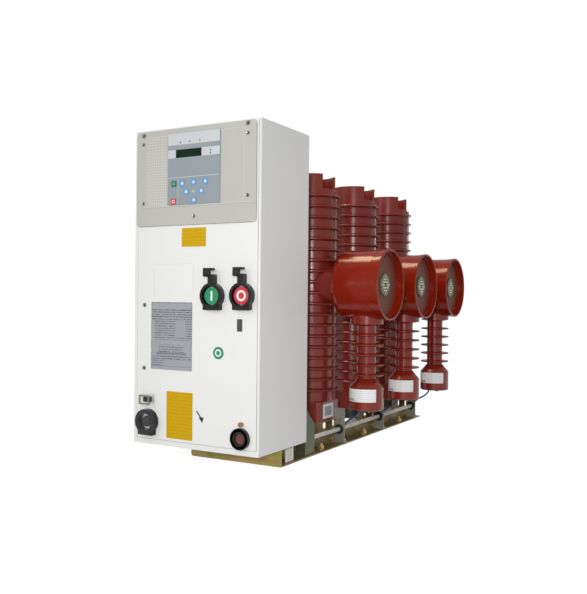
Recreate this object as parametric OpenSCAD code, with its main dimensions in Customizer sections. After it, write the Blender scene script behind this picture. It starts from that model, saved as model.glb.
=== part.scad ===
// Medium-voltage circuit breaker with a side operating mechanism, in millimetres.
// +Z up, the panel with the push-buttons faces -Y, and the cable bells face +X.
// The origin is the centre of the four fixing holes, on the plane the base stands on.

/* [Housing] */
// Housing width across the front
housing_w = 308; // [240:1:400]
// Housing depth, front cover included
housing_d = 196.5; // [150:0.5:260]
// Housing height above the base
housing_h = 645; // [520:1:800]
// Sheet thickness of the housing
housing_t = 2; // [1.5:0.5:4]

/* [Base frame] */
// Width over the two rails
base_w = 221.4; // [180:0.2:280]
// Length of the rails, at least 2.7 times the pole distance plus 120
base_l = 787; // [740:1:960]
// Height of the base under the housing
base_h = 34.5; // [28:0.5:45]
// Width of each rail's bottom flange
rail_flange = 32; // [26:1:40]
// Sheet thickness of the base
base_t = 3; // [2:0.5:5]

/* [Poles] */
// Distance between neighbouring poles
pole_pitch = 230; // [190:1:300]
// Radius of the pole's column
column_r = 54; // [45:0.5:64]
// Radius of the pole's ribs
rib_r = 65.5; // [58:0.5:78]
// Distance from rib to rib
rib_pitch = 24.8; // [20:0.1:29]
// Number of ribs on a pole
rib_count = 19; // [12:1:22]
// Wall of the open pole head
head_wall = 6; // [4:0.5:10]

/* [Cable bells] */
// Height of the bell axis above the floor
bell_z = 368.7; // [330:1:420]
// Outer radius at the bell's rim
bell_r = 80.3; // [66:0.1:92]
// Distance from the pole axis to the bell's mouth
bell_reach = 201; // [180:1:240]
// Depth of the recess in the mouth
bell_depth = 18; // [15:1:30]
// Radius of the round contact in the recess
contact_r = 25; // [18:1:30]

/* [Post insulators] */
// Distance from the pole axis to the post's axis
post_reach = 143; // [120:1:160]
// Radius of the post's core
post_core_r = 21; // [16:0.5:26]
// Radius of the post's ribs and foot
post_foot_r = 38.5; // [32:0.5:44]

/* [Push-buttons] */
// Outer diameter of the guard rings
guard_d = 50; // [40:1:60]
// How far the guards stand out
guard_depth = 14; // [10:0.5:20]
// Diameter of the button caps
cap_d = 34; // [26:0.5:40]

/* [Hidden] */
$fn = 96;
e = 0.02;
hx1 = base_w / 2;
hx0 = hx1 - housing_w;
hz0 = base_h;
hz1 = base_h + housing_h;
hy0 = -base_l / 2 - 88;
hy1 = hy0 + housing_d;
kx = housing_w / 308;
kz = housing_h / 645;
cover_t = 1.5;
border = 12;
fascia_t = 2;
px = 26.8;
py = [-pole_pitch / 2, pole_pitch / 2, 3 * pole_pitch / 2];
block_z0 = 56;
block_z1 = 100;
rib_z0 = 126.5;
rib_top = rib_z0 + (rib_count - 1) * rib_pitch;
pole_top = rib_top + 50;
head_r = column_r - head_wall;
arm_r = 46;
bell_x1 = px + bell_reach;
bell_x0 = bell_x1 - 119;
disc_x = bell_x1 - bell_depth;
shank_r = 11;
shank_l = 8;
post_x = px + post_reach;
post_z0 = 87;
post_top = bell_z - bell_r + 22;
rib_step = 22.6;
web_x = hx1 - rail_flange;
plate_x0 = web_x + 1;
tube_x = hx1 - 14.5;
tube_z = 34;
cable_end_y = py[2] + 34;

// Across and up on the housing's front, measured from its lower right corner.
function fx(a) = hx1 - a * kx;
function fz(b) = hz0 + b * kz;

module rounded_rect(w, h, r) {
  union() {
    translate([-w / 2 + r, -h / 2]) square([w - 2 * r, h]);
    translate([-w / 2, -h / 2 + r]) square([w, h - 2 * r]);
    for (sx = [-1, 1], sy = [-1, 1])
      translate([sx * (w / 2 - r), sy * (h / 2 - r)]) circle(r = r);
  }
}

// A flat plate facing -Y whose front is at y and whose back is t behind it.
module facing_plate(x0, x1, z0, z1, y, t, r) {
  translate([(x0 + x1) / 2, y + t, (z0 + z1) / 2])
    rotate([90, 0, 0])
    linear_extrude(t) rounded_rect(x1 - x0, z1 - z0, r);
}

// A round piece whose axis runs along Y, from y back to y + t.
module facing_disc(x, z, r, y, t) {
  translate([x, y + t, z]) rotate([90, 0, 0]) cylinder(h = t, r = r);
}

module facing_ring(x, z, r_out, r_in, y, t) {
  difference() {
    facing_disc(x, z, r_out, y, t);
    facing_disc(x, z, r_in, y - 1, t + 2);
  }
}

module housing_shell() {
  color([0.93, 0.93, 0.92])
  difference() {
    translate([(hx0 + hx1) / 2, (hy0 + cover_t + hy1) / 2, hz0])
      linear_extrude(housing_h) rounded_rect(housing_w, hy1 - hy0 - cover_t, 5);
    translate([hx0 + housing_t, hy0 + cover_t + housing_t, hz0 + housing_t])
      cube([housing_w - 2 * housing_t, hy1 - hy0 - cover_t - 2 * housing_t,
        housing_h - 2 * housing_t]);
    translate([hx0 + border + 10, hy0 - 1, hz0 + border + 10])
      cube([housing_w - border - 30, 10, housing_h - border - 30]);
  }
}

// The push-button shafts and the lock pass through the cover.
module front_cover() {
  color([0.95, 0.95, 0.94])
  difference() {
    facing_plate(hx0 + border, hx1 - 4, hz0 + border, hz1 - 3, hy0, cover_t, 2);
    facing_disc(fx(103.5), fz(305.7), 8, hy0 - 1, 5);
    facing_disc(fx(34.5), fz(306.7), 8, hy0 - 1, 5);
  }
}

module fascia_panel() {
  color([0.74, 0.74, 0.72])
  difference() {
    facing_plate(fx(300), fx(6.7), fz(446.6), fz(642), hy0 - fascia_t, fascia_t, 8);
    facing_plate(fx(300) - 1, fx(6.7) + 1, fz(483.2), fz(484.8), hy0 - fascia_t - 1, 1.8, 0.2);
  }
}

module relay_frame() {
  y = hy0 - fascia_t;
  color([0.58, 0.61, 0.63])
  difference() {
    facing_plate(fx(217.5), fx(90), fz(487.8), fz(631.5), y - 2.5, 2.5, 2);
    facing_plate(fx(197.4), fx(134.2), fz(581.7), fz(598), y - 3.5, 2.5, 0.5);
  }
}

module relay_display() {
  color([0.05, 0.16, 0.1])
    facing_plate(fx(197.4) + 0.2, fx(134.2) - 0.2, fz(581.7) + 0.2, fz(598) - 0.2,
      hy0 - fascia_t - 2, 1, 0.5);
}

// One solid for each key; they share a moulding behind the foil.
module relay_keys() {
  y = hy0 - fascia_t - 2.5;
  color([0.4, 0.62, 0.85])
  for (p = [[201.2, 530], [202.2, 494.5], [181.1, 530], [153.3, 531], [124.6, 531],
      [171.5, 512.7], [134.2, 512.7], [152.4, 495.5]])
    facing_plate(fx(p[0]) - 6.2, fx(p[0]) + 6.2, fz(p[1]) - 6.2, fz(p[1]) + 6.2, y - 0.8, 0.8, 1);
}

// A guard ring on a flat foot, with a neck and a hooked hasp above it for a padlock.
module button_guard(x, z) {
  r = guard_d / 2;
  difference() {
    union() {
      facing_disc(x, z, r, hy0 - guard_depth, guard_depth);
      facing_plate(x - 19, x + 19, z - r - 2.5, z - 12, hy0 - guard_depth + 2,
        guard_depth - 2, 1);
      facing_plate(x - 6.5, x + 6.5, z + 12, z + 42, hy0 - guard_depth, guard_depth, 2);
      facing_plate(x - 12, x - 6, z + 37, z + 54, hy0 - guard_depth - 8, guard_depth + 4, 1.5);
      facing_plate(x - 12, x + 9, z + 49.5, z + 54, hy0 - guard_depth - 8, 11, 1.5);
    }
    facing_disc(x, z, cap_d / 2 + 2.2, hy0 - guard_depth - 1, guard_depth + 2);
  }
}

module close_guard() {
  color([0.07, 0.07, 0.08]) button_guard(fx(103.5), fz(305.7));
}

module open_guard() {
  color([0.07, 0.07, 0.08]) button_guard(fx(34.5), fz(306.7));
}

// Cap in front, shaft through the cover, and a collar behind it as the stop.
module push_button(x, z) {
  y = hy0 - guard_depth + 5;
  facing_disc(x, z, cap_d / 2, y, 4);
  facing_disc(x, z, 6, y + 3.9, guard_depth + 2);
  facing_disc(x, z, 10, hy0 + cover_t + housing_t + 3, 3);
  facing_disc(x, z, 6, y + 4 + guard_depth, 3);
}

module close_button() {
  color([0.0, 0.5, 0.35]) push_button(fx(103.5), fz(305.7));
}

module open_button() {
  color([0.78, 0.14, 0.18]) push_button(fx(34.5), fz(306.7));
}

module operation_counter() {
  color([0.2, 0.2, 0.2])
    facing_plate(fx(48.9), fx(37.4), fz(237.7), fz(261.6), hy0 - 1, 1, 0.5);
}

module state_indicator() {
  color([0.15, 0.5, 0.3]) facing_disc(fx(92), fz(194.5), 12, hy0 - 1.2, 1.2);
}

module rating_plate() {
  color([0.62, 0.64, 0.67])
    facing_plate(fx(259.7), fx(156.2), fz(155.2), fz(292.3), hy0 - 0.8, 0.8, 2);
}

module instruction_labels() {
  color([0.88, 0.7, 0.02]) {
    facing_plate(fx(184), fx(124.6), fz(403.4), fz(440.8), hy0 - 0.4, 0.4, 0.5);
    facing_plate(fx(218.5), fx(153.3), fz(17.2), fz(112), hy0 - 0.4, 0.4, 0.5);
  }
}

module lock_guard() {
  x = fx(264.5);
  z = fz(47.9);
  color([0.07, 0.07, 0.08])
  difference() {
    union() {
      facing_disc(x, z, guard_d / 2, hy0 - guard_depth, guard_depth);
      facing_plate(x - 19, x + 19, z - guard_d / 2 - 2.5, z - 12, hy0 - guard_depth + 2,
        guard_depth - 2, 1);
    }
    facing_disc(x, z, cap_d / 2, hy0 - guard_depth - 1, guard_depth + 2);
  }
}

// A clear lens over the lock, with a hasp box above it.
module lock_cover() {
  x = fx(264.5);
  z = fz(47.9);
  color([0.8, 0.82, 0.82, 0.45])
  union() {
    facing_disc(x, z, guard_d / 2 + 1.5, hy0 - guard_depth - 2.2, 2);
    facing_plate(x - 11, x + 11, z + 20, z + 36, hy0 - guard_depth - 2.2, 2, 1);
    difference() {
      facing_plate(x - 14, x + 14, z + 35, z + 55, hy0 - guard_depth - 2.2,
        guard_depth + 2.2, 2);
      facing_plate(x - 9, x + 9, z + 39, z + 51, hy0 - guard_depth - 3, guard_depth, 1);
    }
  }
}

module lock_cylinder() {
  color([0.25, 0.26, 0.27]) facing_disc(fx(264.5), fz(47.9), 11, hy0 - 8, 8);
}

// A ring with a round recess that takes the spring-charging lever.
module charging_socket() {
  x = fx(38.3);
  z = fz(32.6);
  color([0.1, 0.11, 0.12])
  difference() {
    facing_disc(x, z, 21, hy0 - 7, 7);
    facing_disc(x, z, 11, hy0 - 8, 6.5);
  }
}

module socket_knob() {
  color([0.6, 0.48, 0.33]) facing_disc(fx(36.4), fz(60.4), 4.5, hy0 - 7, 7);
}

module cover_screws() {
  color([0.55, 0.54, 0.48]) {
    for (p = [[282.7, 616], [26.8, 617], [281.7, 494.5], [26.8, 498.3], [153.3, 463.8]])
      facing_disc(fx(p[0]), fz(p[1]), 3.7, hy0 - fascia_t - 1.6, 1.6);
    for (p = [[281.7, 634], [26.8, 636.2]])
      facing_disc(fx(p[0]), fz(p[1]), 5, hy0 - fascia_t - 2, 2);
    for (p = [[277.9, 285.6], [277.9, 156.2]])
      facing_disc(fx(p[0]), fz(p[1]), 4.5, hy0 - 2.2, 2.2);
  }
}

// Each rail is an angle: a bottom flange outwards and an upright web at its inner edge.
module base_rails() {
  color([0.5, 0.46, 0.25])
  for (s = [-1, 1])
    difference() {
      union() {
        translate([s > 0 ? web_x : -hx1, -base_l / 2 + base_t, 0])
          cube([rail_flange, base_l - base_t, base_t]);
        translate([s > 0 ? web_x : -web_x - base_t, -base_l / 2 + base_t, 0])
          cube([base_t, base_l - base_t, 22]);
      }
      for (y = [-330, 330])
        translate([s * 95, y * base_l / 787, -1]) cylinder(h = base_t + 2, r = 5.5);
    }
}

module base_front_plate() {
  color([0.56, 0.52, 0.2])
  union() {
    facing_plate(-hx1, hx1, 0, base_h, -base_l / 2, base_t, 6);
    translate([hx1 - 20, -base_l / 2, 0]) cube([20, base_t, base_h]);
    translate([-hx1 + 8, -base_l / 2 + e, base_h - base_t])
      cube([base_w - 16, 60, base_t]);
  }
}

// Cross member between the rails, a little in from their rear ends.
module base_rear_plate() {
  color([0.5, 0.46, 0.25])
  union() {
    translate([-web_x + 0.2, base_l / 2 - 28, 0]) cube([2 * web_x - 0.4, base_t, 22]);
    translate([-web_x + 0.2, base_l / 2 - 28, 0]) cube([2 * web_x - 0.4, 20, base_t]);
  }
}

// Bent sheet behind the housing: a sloping side plate and a flange against the housing.
module gusset(s) {
  x = s > 0 ? 103 : -106;
  x_fl = s > 0 ? 84 : -106;
  translate([x, 0, 0])
    rotate([90, 0, 90])
    linear_extrude(3)
    polygon([[hy1 + 0.3, base_t], [hy1 + 42, base_t], [hy1 + 42, 65], [hy1 + 10, 97],
      [hy1 + 0.3, 107]]);
  translate([x_fl, hy1 + 0.3, base_t]) cube([22, 3, 100]);
}

module housing_gussets() {
  color([0.4, 0.42, 0.3]) {
    gusset(1);
    gusset(-1);
  }
}

// One rib section: thick at the column and thin at the edge.
module rib_section(r0, r1, z, t) {
  translate([0, z])
    polygon([[r0 - 2, -t * 0.75], [r0, -t * 0.75], [r1 - 1.5, -t * 0.4], [r1, -t * 0.15],
      [r1, t * 0.15], [r1 - 1.5, t * 0.4], [r0, t * 0.75], [r0 - 2, t * 0.75]]);
}

// Column with its ribs, square foot block, side arm and notched open head.
module pole(y) {
  translate([px, y, 0])
  difference() {
    union() {
      rotate_extrude() {
        translate([0, block_z1 - 1]) square([column_r, pole_top - block_z1 + 1]);
        for (i = [0:rib_count - 1]) rib_section(column_r, rib_r, rib_z0 + i * rib_pitch, 6);
      }
      translate([0, 0, block_z0]) linear_extrude(block_z1 - block_z0)
        rounded_rect(104, 104, 16);
      translate([0, 0, bell_z]) rotate([0, 90, 0])
        cylinder(h = bell_x0 - px - 0.2, r = arm_r);
    }
    translate([0, 0, pole_top - 88]) cylinder(h = 100, r = head_r);
    translate([0, 0, pole_top - 33]) rotate([0, 0, -36]) pie(36);
  }
}

// The notch in the head, as a wedge that opens towards +X.
module pie(half) {
  linear_extrude(60)
    polygon([[0, 0], [90, 0], [90 * cos(half), 90 * sin(half)],
      [90 * cos(2 * half), 90 * sin(2 * half)]]);
}

module pole_1() {
  color([0.48, 0.2, 0.16]) pole(py[0]);
}

module pole_2() {
  color([0.48, 0.2, 0.16]) pole(py[1]);
}

module pole_3() {
  color([0.48, 0.2, 0.16]) pole(py[2]);
}

// Upper terminal down in the head, tapped for the busbar bolt.
module head_contact(y) {
  translate([px, y, pole_top - 88])
  difference() {
    cylinder(h = 42, r = 24);
    translate([0, 0, 18]) cylinder(h = 25, r = 5.1);
  }
}

module head_contact_1() {
  color([0.7, 0.69, 0.64]) head_contact(py[0]);
}

module head_contact_2() {
  color([0.7, 0.69, 0.64]) head_contact(py[1]);
}

module head_contact_3() {
  color([0.7, 0.69, 0.64]) head_contact(py[2]);
}

// Bell-shaped cable bushing, turned about X, with a stepped recess in its mouth.
module bell(y) {
  l = bell_x1 - bell_x0;
  r = bell_r;
  translate([bell_x0, y, bell_z])
    rotate([0, 90, 0])
    rotate_extrude()
    polygon([[0, 0], [r - 20, 0], [r - 13, 1.8], [r - 8, 5], [r - 4.5, 10], [r - 2.2, 17],
      [r - 2.2, l - 24], [r - 0.8, l - 9], [r, l - 2], [r - 1, l], [r - 4, l],
      [r - 5, l - 1], [r - 6, l - 13], [r - 8.5, l - 13], [r - 9.5, l - bell_depth],
      [shank_r, l - bell_depth], [shank_r, l - bell_depth - shank_l],
      [0, l - bell_depth - shank_l]]);
}

module bell_1() {
  color([0.53, 0.17, 0.1]) bell(py[0]);
}

module bell_2() {
  color([0.53, 0.17, 0.1]) bell(py[1]);
}

module bell_3() {
  color([0.53, 0.17, 0.1]) bell(py[2]);
}

// Round contact in the bell, tapped in the middle for the cable lug.
module bell_contact(y) {
  translate([disc_x, y, bell_z])
    rotate([0, 90, 0])
    difference() {
      rotate_extrude()
        polygon([[0, -shank_l], [shank_r, -shank_l], [shank_r, 0], [contact_r, 0],
          [contact_r, 4], [0, 4]]);
      translate([0, 0, -6]) cylinder(h = 12, r = 5.1);
    }
}

module bell_contact_1() {
  color([0.6, 0.61, 0.55]) bell_contact(py[0]);
}

module bell_contact_2() {
  color([0.6, 0.61, 0.55]) bell_contact(py[1]);
}

module bell_contact_3() {
  color([0.6, 0.61, 0.55]) bell_contact(py[2]);
}

// Ribbed post under the bell; its top is cut to the bell's curve.
module post_insulator(y) {
  c = post_core_r;
  f = post_foot_r;
  translate([post_x, y, 0])
  difference() {
    rotate_extrude() {
      polygon([[0, post_z0], [f - 2, post_z0], [f, post_z0 + 2], [f, 137], [c, 158], [c, 276],
        [f - 1.5, 280], [f - 1, post_top], [0, post_top]]);
      for (i = [0:4]) rib_section(c, f - 0.3, 165.8 + i * rib_step, 5);
    }
    translate([-90, 0, bell_z]) rotate([0, 90, 0])
      cylinder(h = 180, r = bell_r - 2);
  }
}

module post_insulator_1() {
  color([0.5, 0.17, 0.12]) post_insulator(py[0]);
}

module post_insulator_2() {
  color([0.5, 0.17, 0.12]) post_insulator(py[1]);
}

module post_insulator_3() {
  color([0.5, 0.17, 0.12]) post_insulator(py[2]);
}

// Saddle under a pole: a top plate on four legs, with end flanges against the rail webs.
module pole_bracket(y) {
  color([0.6, 0.55, 0.28])
  translate([0, y, 0])
  union() {
    translate([-web_x + 0.2, -42, 52.8]) cube([2 * web_x - 0.4, 92, 3]);
    for (s = [-1, 1]) {
      for (y = [-42, 10])
        translate([s > 0 ? web_x - 17.2 : -web_x + 0.2, y, 4]) cube([17, 3, 49]);
      translate([s > 0 ? web_x - 3.2 : -web_x + 0.2, -42, 4]) cube([3, 55, 30]);
    }
  }
}

module pole_bracket_1() {
  pole_bracket(py[0]);
}

module pole_bracket_2() {
  pole_bracket(py[1]);
}

module pole_bracket_3() {
  pole_bracket(py[2]);
}

// Upright plates outside the rail web, with a foot on the flange and a hole for the conduit.
module cable_plates() {
  color([0.48, 0.49, 0.46])
  for (y = py)
    difference() {
      union() {
        translate([web_x + base_t + 0.3, y + 12, base_t]) cube([28, 2, 80]);
        translate([web_x + base_t + 0.3, y + 12, base_t]) cube([28, 20, 2]);
      }
      translate([tube_x, y + 20, tube_z]) rotate([90, 0, 0]) cylinder(h = 20, r = 9);
    }
}

module cable_grommets() {
  color([0.08, 0.08, 0.1])
  for (y = py)
    translate([tube_x, y, tube_z])
      rotate([-90, 0, 0])
      difference() {
        union() {
          translate([0, 0, 9]) cylinder(h = 2.8, r = 11);
          translate([0, 0, 11.7]) cylinder(h = 2.5, r = 8.9);
          translate([0, 0, 14.2]) cylinder(h = 2.8, r = 11);
        }
        translate([0, 0, 5]) cylinder(h = 20, r = 5.4);
      }
}

// Straight conduit along the right rail, held in the three grommets.
module wiring_conduit() {
  color([0.85, 0.85, 0.82])
  translate([tube_x, hy1 + 3.6, tube_z])
    rotate([-90, 0, 0])
    cylinder(h = cable_end_y - hy1 - 3.6, r = 5.1);
}

// A point on a smooth curve through four control points.
function curve_at(p, t) = pow(1 - t, 3) * p[0] + 3 * t * pow(1 - t, 2) * p[1]
  + 3 * t * t * (1 - t) * p[2] + pow(t, 3) * p[3];

// A round wire drawn through a list of points with ball joints.
module wire(points, r) {
  for (i = [0:len(points) - 2]) {
    a = points[i];
    d = points[i + 1] - a;
    translate(a)
      rotate([0, acos(d[2] / norm(d)), atan2(d[1], d[0])])
      cylinder(h = norm(d), r = r);
    translate(a) sphere(r = r + 0.1);
  }
}

// Sensor cables from each post's foot down to the conduit.
module sensor_cables() {
  color([0.12, 0.2, 0.35])
  for (y = py) {
    route = [[post_x - 14, y - 2, post_z0 - 2.6], [post_x - 26, y + 4, 60],
      [tube_x + 20, y + 18, 62], [tube_x + 4, y + 30, tube_z + 7.4]];
    wire([for (i = [0:8]) curve_at(route, i / 8)], 2.2);
  }
}

module rail_bolts() {
  color([0.72, 0.6, 0.3])
  for (y = py, s = [-1, 1])
    translate([s * 97, y - 80, base_t]) {
      cylinder(h = 2, r = 8);
      translate([0, 0, 1.9]) cylinder(h = 6.5, r = 7.4, $fn = 6);
      translate([0, 0, 8]) cylinder(h = 5, r = 4);
    }
}

// Three white cable sleeves that stand on the rail under the housing.
module wiring_sleeves() {
  color([0.88, 0.88, 0.85])
  for (i = [0:2])
    translate([100, -base_l / 2 + 40 + i * 11, base_t + 0.2]) cylinder(h = 27, r = 3.6);
}

housing_shell();
front_cover();
fascia_panel();
relay_frame();
relay_display();
relay_keys();
close_guard();
open_guard();
close_button();
open_button();
operation_counter();
state_indicator();
rating_plate();
instruction_labels();
lock_guard();
lock_cover();
lock_cylinder();
charging_socket();
socket_knob();
cover_screws();
base_rails();
base_front_plate();
base_rear_plate();
housing_gussets();
pole_1();
pole_2();
pole_3();
head_contact_1();
head_contact_2();
head_contact_3();
bell_1();
bell_2();
bell_3();
bell_contact_1();
bell_contact_2();
bell_contact_3();
post_insulator_1();
post_insulator_2();
post_insulator_3();
pole_bracket_1();
pole_bracket_2();
pole_bracket_3();
cable_plates();
cable_grommets();
wiring_conduit();
sensor_cables();
rail_bolts();
wiring_sleeves();
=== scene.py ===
import math

import bmesh
import bpy
from mathutils import Matrix, Vector


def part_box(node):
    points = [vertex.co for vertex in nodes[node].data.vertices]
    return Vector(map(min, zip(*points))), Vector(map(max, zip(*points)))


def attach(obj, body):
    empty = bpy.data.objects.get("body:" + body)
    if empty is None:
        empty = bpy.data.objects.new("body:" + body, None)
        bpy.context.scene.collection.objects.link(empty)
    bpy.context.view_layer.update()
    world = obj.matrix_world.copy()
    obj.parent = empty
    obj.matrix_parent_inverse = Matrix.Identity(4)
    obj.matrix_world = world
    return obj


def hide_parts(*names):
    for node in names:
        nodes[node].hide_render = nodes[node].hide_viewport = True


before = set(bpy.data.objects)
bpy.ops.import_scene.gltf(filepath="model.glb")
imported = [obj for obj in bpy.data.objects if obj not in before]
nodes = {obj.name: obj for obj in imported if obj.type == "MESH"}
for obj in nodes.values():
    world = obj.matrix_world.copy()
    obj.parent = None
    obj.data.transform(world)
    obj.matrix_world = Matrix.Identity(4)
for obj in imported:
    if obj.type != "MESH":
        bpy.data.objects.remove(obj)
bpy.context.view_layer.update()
print("stage: frame loaded,", len(nodes), "CAD nodes")

fixedBody = "breaker"
facing = Matrix.Rotation(math.pi / 2, 4, "X")  # turns a shape's +Z towards the front, -Y
sideways = Matrix.Rotation(math.pi / 2, 4, "Y")  # turns a shape's +Z towards the bells, +X


# Places read from the frame

def boxCentre(node):
    low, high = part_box(node)
    return (low + high) / 2


def boxSize(node):
    low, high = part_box(node)
    return high - low


houseLow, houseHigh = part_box("housing_shell")
coverLow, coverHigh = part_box("front_cover")
fasciaLow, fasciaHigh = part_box("fascia_panel")
relayLow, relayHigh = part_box("relay_frame")
coverFace = coverLow.y
fasciaFace = fasciaLow.y
relayFace = relayLow.y


# From the housing's lower right corner: metres to the left, and metres up
def frontPoint(left, up, y=None):
    return Vector((houseHigh.x - left, coverFace if y is None else y, houseLow.z + up))


# Shader node groups

def groupSocket(group, name, way, kind, value=None):
    socket = group.interface.new_socket(name=name, in_out=way, socket_type=kind)
    if value is not None:
        socket.default_value = value
    return socket


def addMath(tree, operation, first, second=None):
    node = tree.nodes.new("ShaderNodeMath")
    node.operation = operation
    for index, value in enumerate((first, second)):
        if value is None:
            continue
        if isinstance(value, (int, float)):
            node.inputs[index].default_value = value
        else:
            tree.links.new(value, node.inputs[index])
    return node.outputs[0]


# Two scales of noise: slow drift in the colour and a fine grain for roughness and relief
def makeSurfaceDrift():
    group = bpy.data.node_groups.new("surfaceDrift", "ShaderNodeTree")
    groupSocket(group, "Drift Scale", "INPUT", "NodeSocketFloat", 6.0)
    groupSocket(group, "Grain Scale", "INPUT", "NodeSocketFloat", 400.0)
    groupSocket(group, "Drift", "OUTPUT", "NodeSocketFloat")
    groupSocket(group, "Grain", "OUTPUT", "NodeSocketFloat")
    inner = group.nodes.new("NodeGroupInput")
    outer = group.nodes.new("NodeGroupOutput")
    place = group.nodes.new("ShaderNodeTexCoord")
    for scaleName, outName, detail in (("Drift Scale", "Drift", 4.0), ("Grain Scale", "Grain", 2.0)):
        noise = group.nodes.new("ShaderNodeTexNoise")
        noise.inputs["Detail"].default_value = detail
        group.links.new(place.outputs["Object"], noise.inputs["Vector"])
        group.links.new(inner.outputs[scaleName], noise.inputs["Scale"])
        group.links.new(noise.outputs["Fac"], outer.inputs[outName])
    return group


# Rows of short dashes that stand for small print, as a mask
def makePrintedRows():
    group = bpy.data.node_groups.new("printedRows", "ShaderNodeTree")
    groupSocket(group, "Row Pitch", "INPUT", "NodeSocketFloat", 0.006)
    groupSocket(group, "Row Share", "INPUT", "NodeSocketFloat", 0.35)
    groupSocket(group, "Dash Scale", "INPUT", "NodeSocketFloat", 500.0)
    groupSocket(group, "Mask", "OUTPUT", "NodeSocketFloat")
    inner = group.nodes.new("NodeGroupInput")
    outer = group.nodes.new("NodeGroupOutput")
    place = group.nodes.new("ShaderNodeTexCoord")
    split = group.nodes.new("ShaderNodeSeparateXYZ")
    group.links.new(place.outputs["Object"], split.inputs[0])
    rows = addMath(group, "DIVIDE", split.outputs["Z"], inner.outputs["Row Pitch"])
    inRow = addMath(group, "LESS_THAN", addMath(group, "FRACT", rows), inner.outputs["Row Share"])
    rowNumber = addMath(group, "FLOOR", rows)
    join = group.nodes.new("ShaderNodeCombineXYZ")
    along = addMath(group, "ADD", split.outputs["X"], split.outputs["Y"])
    group.links.new(addMath(group, "MULTIPLY", along, inner.outputs["Dash Scale"]), join.inputs["X"])
    group.links.new(addMath(group, "MULTIPLY", rowNumber, 7.3), join.inputs["Y"])
    dash = group.nodes.new("ShaderNodeTexNoise")
    dash.inputs["Scale"].default_value = 1.0
    group.links.new(join.outputs[0], dash.inputs["Vector"])
    inked = addMath(group, "GREATER_THAN", dash.outputs["Fac"], 0.47)
    group.links.new(addMath(group, "MULTIPLY", inRow, inked), outer.inputs["Mask"])
    return group


driftGroup = makeSurfaceDrift()
printGroup = makePrintedRows()


def linear(colour):
    return tuple(((c / 255 + 0.055) / 1.055) ** 2.4 if c > 10 else c / 3295 for c in colour)


def mixColours(tree, factor, first, second):
    mix = tree.nodes.new("ShaderNodeMix")
    mix.data_type = "RGBA"
    for socket, value in ((mix.inputs["Factor"], factor), (mix.inputs["A"], first), (mix.inputs["B"], second)):
        if isinstance(value, bpy.types.NodeSocket):
            tree.links.new(value, socket)
        elif isinstance(value, (int, float)):
            socket.default_value = value
        else:
            socket.default_value = (*value[:3], 1.0)
    return mix.outputs["Result"]


def spread(tree, value, low, high, outLow, outHigh):
    node = tree.nodes.new("ShaderNodeMapRange")
    tree.links.new(value, node.inputs["Value"])
    for name, number in (("From Min", low), ("From Max", high), ("To Min", outLow), ("To Max", outHigh)):
        node.inputs[name].default_value = number
    return node.outputs["Result"]


# One finish: base colour drifting to a second one, roughness from the grain, and a fine relief
def makeFinish(name, colour, drifted, roughness, metallic=0.0, coat=0.0, drift=6.0, grain=400.0,
               relief=0.05, reliefDepth=0.0003, alpha=1.0, gloss=0.5, printed=None):
    material = bpy.data.materials.new(name)
    material.use_nodes = True
    tree = material.node_tree
    shader = tree.nodes["Principled BSDF"]
    wear = tree.nodes.new("ShaderNodeGroup")
    wear.node_tree = driftGroup
    wear.inputs["Drift Scale"].default_value = drift
    wear.inputs["Grain Scale"].default_value = grain
    slow = spread(tree, wear.outputs["Drift"], 0.35, 0.65, 0.0, 1.0)
    base = mixColours(tree, slow, linear(colour), linear(drifted))
    if printed:
        rows = tree.nodes.new("ShaderNodeGroup")
        rows.node_tree = printGroup
        rows.inputs["Row Pitch"].default_value = printed["pitch"]
        rows.inputs["Row Share"].default_value = printed["share"]
        rows.inputs["Dash Scale"].default_value = printed["dash"]
        ink = addMath(tree, "MULTIPLY", rows.outputs["Mask"], printed["strength"])
        base = mixColours(tree, ink, base, linear(printed["ink"]))
    tree.links.new(base, shader.inputs["Base Color"])
    tree.links.new(spread(tree, wear.outputs["Grain"], 0.3, 0.7, roughness * 0.85, roughness * 1.15),
                   shader.inputs["Roughness"])
    bump = tree.nodes.new("ShaderNodeBump")
    bump.inputs["Strength"].default_value = relief
    bump.inputs["Distance"].default_value = reliefDepth
    tree.links.new(wear.outputs["Grain"], bump.inputs["Height"])
    tree.links.new(bump.outputs["Normal"], shader.inputs["Normal"])
    shader.inputs["Metallic"].default_value = metallic
    shader.inputs["Coat Weight"].default_value = coat
    shader.inputs["Coat Roughness"].default_value = 0.08
    shader.inputs["Alpha"].default_value = alpha
    shader.inputs["Specular IOR Level"].default_value = gloss
    return material


# Yellow passivated zinc: bands of olive, straw and faint pink that follow a stretched noise
def makePassivatedZinc(name, straw, olive, blush, roughness):
    material = makeFinish(name, straw, olive, roughness, metallic=0.45, drift=14.0, grain=900.0)
    tree = material.node_tree
    shader = tree.nodes["Principled BSDF"]
    base = shader.inputs["Base Color"].links[0].from_socket
    place = tree.nodes.new("ShaderNodeTexCoord")
    stretch = tree.nodes.new("ShaderNodeMapping")
    stretch.inputs["Scale"].default_value = (5.0, 3.0, 26.0)
    tree.links.new(place.outputs["Object"], stretch.inputs["Vector"])
    bands = tree.nodes.new("ShaderNodeTexNoise")
    bands.inputs["Scale"].default_value = 2.2
    bands.inputs["Detail"].default_value = 3.0
    bands.inputs["Distortion"].default_value = 0.8
    tree.links.new(stretch.outputs[0], bands.inputs["Vector"])
    rosy = spread(tree, bands.outputs["Fac"], 0.52, 0.66, 0.0, 0.8)
    tree.links.new(mixColours(tree, rosy, base, linear(blush)), shader.inputs["Base Color"])
    return material


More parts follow.
